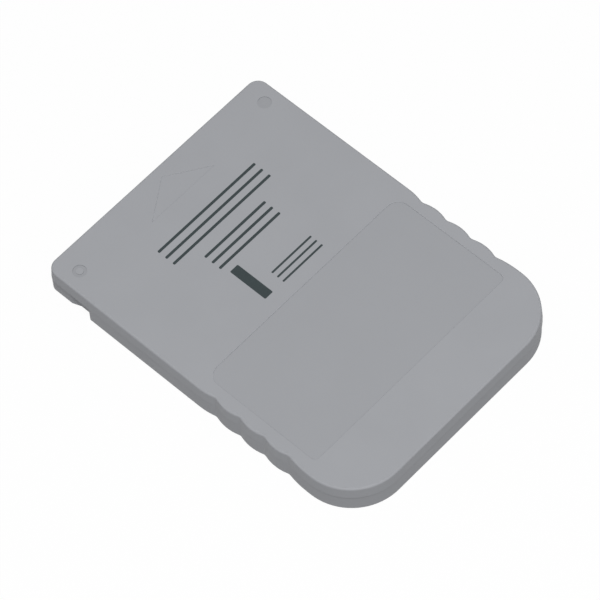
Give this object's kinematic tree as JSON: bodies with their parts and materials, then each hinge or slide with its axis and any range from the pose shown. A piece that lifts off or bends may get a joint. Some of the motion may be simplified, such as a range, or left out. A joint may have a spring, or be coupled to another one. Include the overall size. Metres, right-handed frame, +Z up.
{
  "type": "console memory card",
  "caption": "Slim console memory card: moulded grey shells with scalloped grip sides, rounded rear corners, a label recess and an open connector end over gold contacts.",
  "frame": {"origin": "under the middle of the card, on its flat underside", "axes": "+Y points to the connector end, along the card's length; +X runs across the card; +Z points up out of the printed top face"},
  "size_m": [0.042, 0.0568, 0.0051],
  "materials": {
    "shell_grey": "fine satin moulded grain",
    "board_green": "solder mask",
    "contact_gold": "gold plate",
    "chip_black": "moulded epoxy",
    "lead_tin": "tinned",
    "ceramic_tan": "ceramic",
    "resistor_black": "glazed ceramic",
    "print_ink": "pad printed ink",
    "screw_steel": "zinc plated"
  },
  "bodies": {
    "root": {"upper_shell": "shell_grey", "lower_shell": "shell_grey", "circuit_board": "board_green", "controller_chip": "chip_black", "memory_chip": "chip_black", "regulator": "chip_black", "controller_leads": "lead_tin", "memory_leads": "lead_tin", "regulator_leads": "lead_tin", "case_screw": "screw_steel", "contact_1": "contact_gold", "contact_2": "contact_gold", "contact_3": "contact_gold", "contact_4": "contact_gold", "contact_5": "contact_gold", "contact_6": "contact_gold", "contact_7": "contact_gold", "contact_8": "contact_gold", "capacitor_1": "ceramic_tan", "capacitor_2": "ceramic_tan", "capacitor_3": "ceramic_tan", "resistor_1": "resistor_black", "resistor_2": "resistor_black", "resistor_3": "resistor_black", "resistor_4": "resistor_black"}
  },
  "joints": []
}
